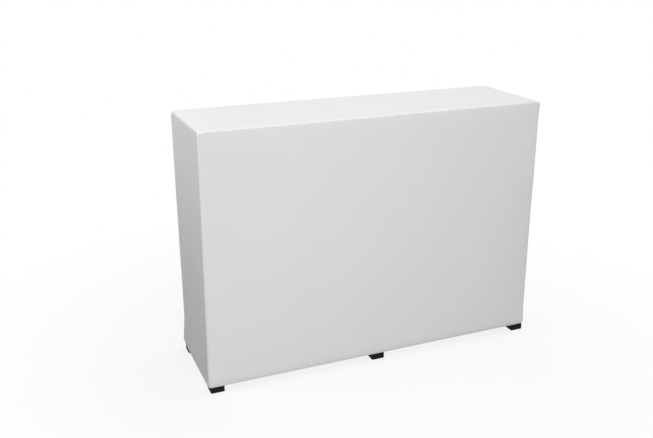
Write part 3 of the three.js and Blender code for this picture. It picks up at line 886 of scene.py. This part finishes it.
class BAR_OT_scissors(bpy.types.Operator):
    """Finishes the scissor arms, pins, hubs, sliders and knobs and adds their screws and caps"""

    bl_idname = "portable_bar.scissors"
    bl_label = "Scissor arms"

    def execute(self, context):
        s = context.scene.bar_frame
        nylon = moulded_nylon(s.nylon)
        zinc = zinc_plated_steel()
        paint([f"{name}_{part}" for name in FRAMES for part in NYLON_PARTS], nylon)
        paint([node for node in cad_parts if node.endswith("_pin")], zinc)
        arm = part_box("left_inner_hub_pin")[0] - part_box("left_outer_slider_pin")[0]
        slope = math.atan2(arm.z, arm.x)
        rising = satin_aluminium("satin_aluminium_rising", slope)
        falling = satin_aluminium("satin_aluminium_falling", -slope)
        paint(["left_hub_arm", "right_slider_arm"], rising)
        paint(["left_slider_arm", "right_hub_arm"], falling)
        for name in FRAMES:
            leg_low, leg_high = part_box(f"{name}_front_leg")
            across = (leg_low.x + leg_high.x) / 2
            hub_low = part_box(f"{name}_hub")[0]
            screws = bmesh.new()
            for above in HUB_SCREWS:
                place = Vector((across, leg_high.y + COLLAR_WALL, hub_low.z + above))
                add_part(screws, screw_mesh(place, REARWARD, HUB_SCREW, HUB_SCREW_HEIGHT))
            new_piece(f"{name}_hub_screws", screws, zinc, f"{name}_frame")
            knob_low, knob_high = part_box(f"{name}_clamp_knob")
            place = Vector((across, knob_high.y, (knob_low.z + knob_high.z) / 2))
            cap = screw_mesh(place, REARWARD, KNOB_CAP, KNOB_CAP_HEIGHT)
            new_piece(f"{name}_knob_cap", cap, zinc, f"{name}_clamp_knob")
        return {"FINISHED"}


EDGING = 0.8 * MM
EDGING_PROUD = 0.3 * MM
EDGING_INSET = 1.5 * MM
TOP_CORNER = 30 * MM
TOP_SEAM_CORNER = 4 * MM
SHELF_CORNER = 6 * MM
CLEAT_SCREWS = (-100 * MM, 0.0, 100 * MM)
CLEAT_SCREW = 3.5 * MM
CLEAT_SCREW_HEIGHT = 1.6 * MM


def edging_mesh(node, outer_corner, inner_corner):
    """The strip glued round a board's edge, a little short of its faces. Inner corners face the middle."""
    low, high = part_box(node)
    grow = Vector((EDGING_PROUD, EDGING_PROUD, -EDGING_INSET))
    mesh = new_box(low - grow, high + grow)
    middle = abs(low.x + high.x) / 2
    for outer, corner in ((True, outer_corner), (False, inner_corner)):
        corners = [edge for edge in upright_edges(mesh) if (abs(edge.verts[0].co.x) > middle) == outer]
        bevelled(mesh, corners, corner + EDGING_PROUD, segments=6)
    level = [face for face in mesh.faces if is_level(face)]
    bmesh.ops.delete(mesh, geom=level, context="FACES_ONLY")
    return mesh


class BAR_OT_boards(bpy.types.Operator):
    """Finishes the top boards, their cleats and the shelves and adds the edging strips"""

    bl_idname = "portable_bar.boards"
    bl_label = "Boards"

    def execute(self, context):
        s = context.scene.bar_frame
        boards = [f"{side}_{part}" for side in SIDES for part in ("top_board", "shelf")]
        paint(boards, melamine_board(s.board))
        paint([f"{side}_top_cleat" for side in SIDES], planed_pine())
        strip = edging_strip(s.board)
        zinc = bpy.data.materials.get("zinc_plated_steel") or zinc_plated_steel()
        for side in SIDES:
            for part, corners, body in (
                    ("top_board", (TOP_CORNER, TOP_SEAM_CORNER), "top"),
                    ("shelf", (SHELF_CORNER, SHELF_CORNER), f"{side}_shelf")):
                mesh = edging_mesh(f"{side}_{part}", *corners)
                edging = new_piece(f"{side}_{part}_edging", mesh, strip, body)
                wall = edging.modifiers.new("strip", "SOLIDIFY")
                wall.thickness = EDGING
            low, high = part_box(f"{side}_top_cleat")
            screws = bmesh.new()
            for y in CLEAT_SCREWS:
                place = Vector(((low.x + high.x) / 2, y, low.z))
                add_part(screws, screw_mesh(place, -UP, CLEAT_SCREW, CLEAT_SCREW_HEIGHT))
            new_piece(f"{side}_cleat_screws", screws, zinc, "top")
        return {"FINISHED"}


# Each lamp's name, place, width and height in metres, and power in watts. All face the bar's middle.
LAMPS = (
    ("front_softbox", (-0.8, -3.4, 0.85), (2.6, 1.5), 61.5),
    ("overhead_softbox", (0.5, -0.1, 3.0), (2.6, 1.2), 28.0),
    ("left_softbox", (-1.9, 0.0, 2.0), (0.8, 0.8), 13.2),
    ("right_softbox", (2.6, 0.5, 0.8), (1.0, 1.0), 14.0),
    ("rear_softbox", (1.2, 3.0, 0.9), (2.0, 1.2), 36.0),
)
SENSOR_IN_MM = 36
# To the eye the floor is this share plain white up to the near distance, and all white from the far one.
FLOOR_WHITE = 0.8
FLOOR_NEAR = 0.7
FLOOR_FAR = 1.9


def add_area_light(name, place, target, size, power):
    """A soft rectangular lamp that faces a point."""
    data = bpy.data.lights.new(name, "AREA")
    data.shape = "RECTANGLE"
    data.size, data.size_y = size
    data.energy = power
    lamp = bpy.data.objects.new(name, data)
    lamp.location = place
    lamp.rotation_mode = "QUATERNION"
    lamp.rotation_quaternion = (Vector(target) - Vector(place)).to_track_quat("-Z", "Y")
    bpy.context.scene.collection.objects.link(lamp)


def seen_rays(tree):
    """A node that is 1 for what the eye sees, straight or in a shiny surface, and 0 for other light."""
    path = add(tree, "ShaderNodeLightPath")
    shiny = add(tree, "ShaderNodeMath", operation="MAXIMUM", inputs={
        0: (path, "Is Glossy Ray"), 1: (path, "Is Transmission Ray")})
    return add(tree, "ShaderNodeMath", operation="MAXIMUM", inputs={
        0: (path, "Is Camera Ray"), 1: (shiny, "Value")})


def floor_material():
    """A pale painted floor: white to the eye but for a shadow, and greyer in the light it returns."""
    material = bpy.data.materials.new("pale_studio_floor")
    material.use_nodes = True
    tree = material.node_tree
    tree.nodes.clear()
    place = add(tree, "ShaderNodeTexCoord")
    distance = add(tree, "ShaderNodeVectorMath", operation="LENGTH", inputs={0: (place, "Object")})
    far = add(tree, "ShaderNodeMapRange", interpolation_type="SMOOTHSTEP", inputs={
        "Value": (distance, "Value"),
        "From Min": FLOOR_NEAR, "From Max": FLOOR_FAR, "To Min": FLOOR_WHITE})
    pale = add(tree, "ShaderNodeBsdfDiffuse", inputs={"Color": [*linear("#F7F7F7"), 1.0]})
    white = add(tree, "ShaderNodeEmission", inputs={"Strength": 1.0})
    seen = add(tree, "ShaderNodeMixShader", inputs={
        0: (far, "Result"), 1: (pale, "BSDF"), 2: (white, "Emission")})
    dull = add(tree, "ShaderNodeBsdfDiffuse", inputs={"Color": [*linear("#727272"), 1.0]})
    both = add(tree, "ShaderNodeMixShader", inputs={
        0: (seen_rays(tree), "Value"), 1: (dull, "BSDF"), 2: (seen, "Shader")})
    add(tree, "ShaderNodeOutputMaterial", inputs={"Surface": (both, "Shader")})
    return material


def light_world(strength):
    """White to the eye, and an even grey light to everything else."""
    world = bpy.data.worlds.new("studio")
    bpy.context.scene.world = world
    world.use_nodes = True
    tree = world.node_tree
    tree.nodes.clear()
    ambient, white = [
        add(tree, "ShaderNodeBackground", inputs={"Color": [1.0, 1.0, 1.0, 1.0], "Strength": level})
        for level in (strength, 1.0)]
    mixed = add(tree, "ShaderNodeMixShader", inputs={
        0: (seen_rays(tree), "Value"), 1: (ambient, "Background"), 2: (white, "Background")})
    add(tree, "ShaderNodeOutputWorld", inputs={"Surface": (mixed, "Shader")})


def add_camera(s):
    """The camera, turned and tilted as the settings say."""
    data = bpy.data.cameras.new("camera")
    data.sensor_width = SENSOR_IN_MM
    data.lens = s.lens
    data.shift_y = s.shift
    camera = bpy.data.objects.new("camera", data)
    level = math.cos(s.camera_tilt)
    ahead = Vector((
        math.sin(s.camera_turn) * level, math.cos(s.camera_turn) * level, -math.sin(s.camera_tilt)))
    camera.location = s.camera_place
    camera.rotation_mode = "QUATERNION"
    camera.rotation_quaternion = ahead.to_track_quat("-Z", "Y")
    bpy.context.scene.collection.objects.link(camera)
    bpy.context.scene.camera = camera


def add_floor(radius):
    """A round floor under the bar."""
    mesh = bmesh.new()
    bmesh.ops.create_circle(mesh, cap_ends=True, segments=96, radius=radius)
    data = bpy.data.meshes.new("floor")
    mesh.to_mesh(data)
    mesh.free()
    data.materials.append(floor_material())
    floor = bpy.data.objects.new("floor", data)
    bpy.context.scene.collection.objects.link(floor)


class BAR_OT_stage(bpy.types.Operator):
    """Sets the camera, the floor and the studio light"""

    bl_idname = "portable_bar.stage"
    bl_label = "Stage"

    def execute(self, context):
        s = context.scene.bar_stage
        context.scene.view_settings.view_transform = "Standard"
        add_camera(s)
        add_floor(s.floor_radius)
        light_world(s.ambient)
        middle = (CAD_BOX[0] + CAD_BOX[1]) / 2
        for name, place, size, power in LAMPS:
            add_area_light(name, place, middle, size, power)
        return {"FINISHED"}


class BAR_PT_panel(bpy.types.Panel):
    """Lists the bar's pieces and settings"""

    bl_label = "Portable bar"
    bl_idname = "BAR_PT_panel"
    bl_space_type = "VIEW_3D"
    bl_region_type = "UI"
    bl_category = "Portable bar"

    def draw(self, context):
        for operator in OPERATORS:
            self.layout.operator(operator.bl_idname)
        for settings in SETTINGS:
            group = getattr(context.scene, settings)
            box = self.layout.box()
            for name in group.__annotations__:
                box.prop(group, name)


SETTINGS = {"bar_cover": CoverSettings, "bar_frame": FrameSettings, "bar_stage": StageSettings}
OPERATORS = (BAR_OT_stage, BAR_OT_frames, BAR_OT_feet, BAR_OT_scissors, BAR_OT_boards, BAR_OT_cover)
CLASSES = (*SETTINGS.values(), *OPERATORS, BAR_PT_panel)


def register():
    """Registers the classes and hangs the settings on the scene."""
    for item in CLASSES:
        bpy.utils.register_class(item)
    for name, group in SETTINGS.items():
        setattr(bpy.types.Scene, name, bpy.props.PointerProperty(type=group))


def unregister():
    """Takes the settings and the classes away again."""
    for name in SETTINGS:
        delattr(bpy.types.Scene, name)
    for item in reversed(CLASSES):
        bpy.utils.unregister_class(item)


def main():
    """Builds the whole bar."""
    register()
    bpy.ops.portable_bar.stage()
    bpy.ops.portable_bar.frames()
    bpy.ops.portable_bar.feet()
    bpy.ops.portable_bar.scissors()
    bpy.ops.portable_bar.boards()
    bpy.ops.portable_bar.cover()


if __name__ == "__main__":
    main()
